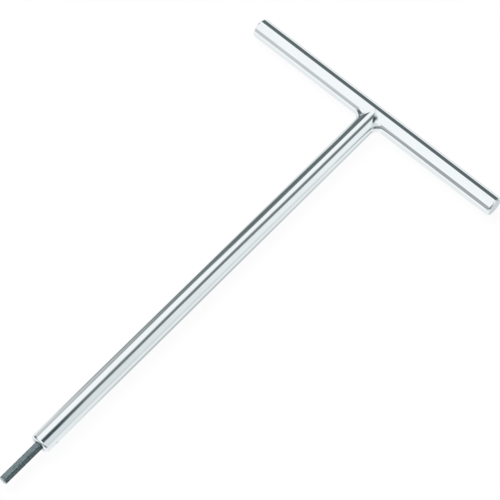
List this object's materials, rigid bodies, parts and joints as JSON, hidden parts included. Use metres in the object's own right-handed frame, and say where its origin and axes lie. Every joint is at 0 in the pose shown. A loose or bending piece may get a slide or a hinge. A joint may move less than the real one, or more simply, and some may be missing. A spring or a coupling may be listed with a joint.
{
  "type": "t-handle hex wrench",
  "caption": "T-handle hex wrench: straight round chrome crossbar welded across the end of a long chrome tube shaft, with a short dark hexagonal bit fixed in the shaft's lower end.",
  "frame": {"origin": "centre of the hexagonal bit's end face, on the shaft axis", "axes": "+Y along the shaft from the bit's end face towards the crossbar; X along the crossbar; +Z square to the plane of the T, up when the wrench lies flat"},
  "size_m": [0.2, 0.3449, 0.0138],
  "materials": {
    "crossbar_chrome": "bright polished chrome plate",
    "shaft_chrome": "bright polished chrome plate",
    "weld_chrome": "chrome plate over a dressed weld, slightly less even than the bars",
    "socket_steel": "turned steel, plated with the shaft",
    "bit_black_oxide": "black oxide over drawn and ground steel, satin",
    "pin_steel": "hardened steel, ground ends"
  },
  "bodies": {
    "root": {"crossbar": "crossbar_chrome", "shaft_tube": "shaft_chrome", "weld_fillet": "weld_chrome", "bit_socket": "socket_steel", "hex_bit": "bit_black_oxide", "retaining_pin": "pin_steel"}
  },
  "joints": []
}
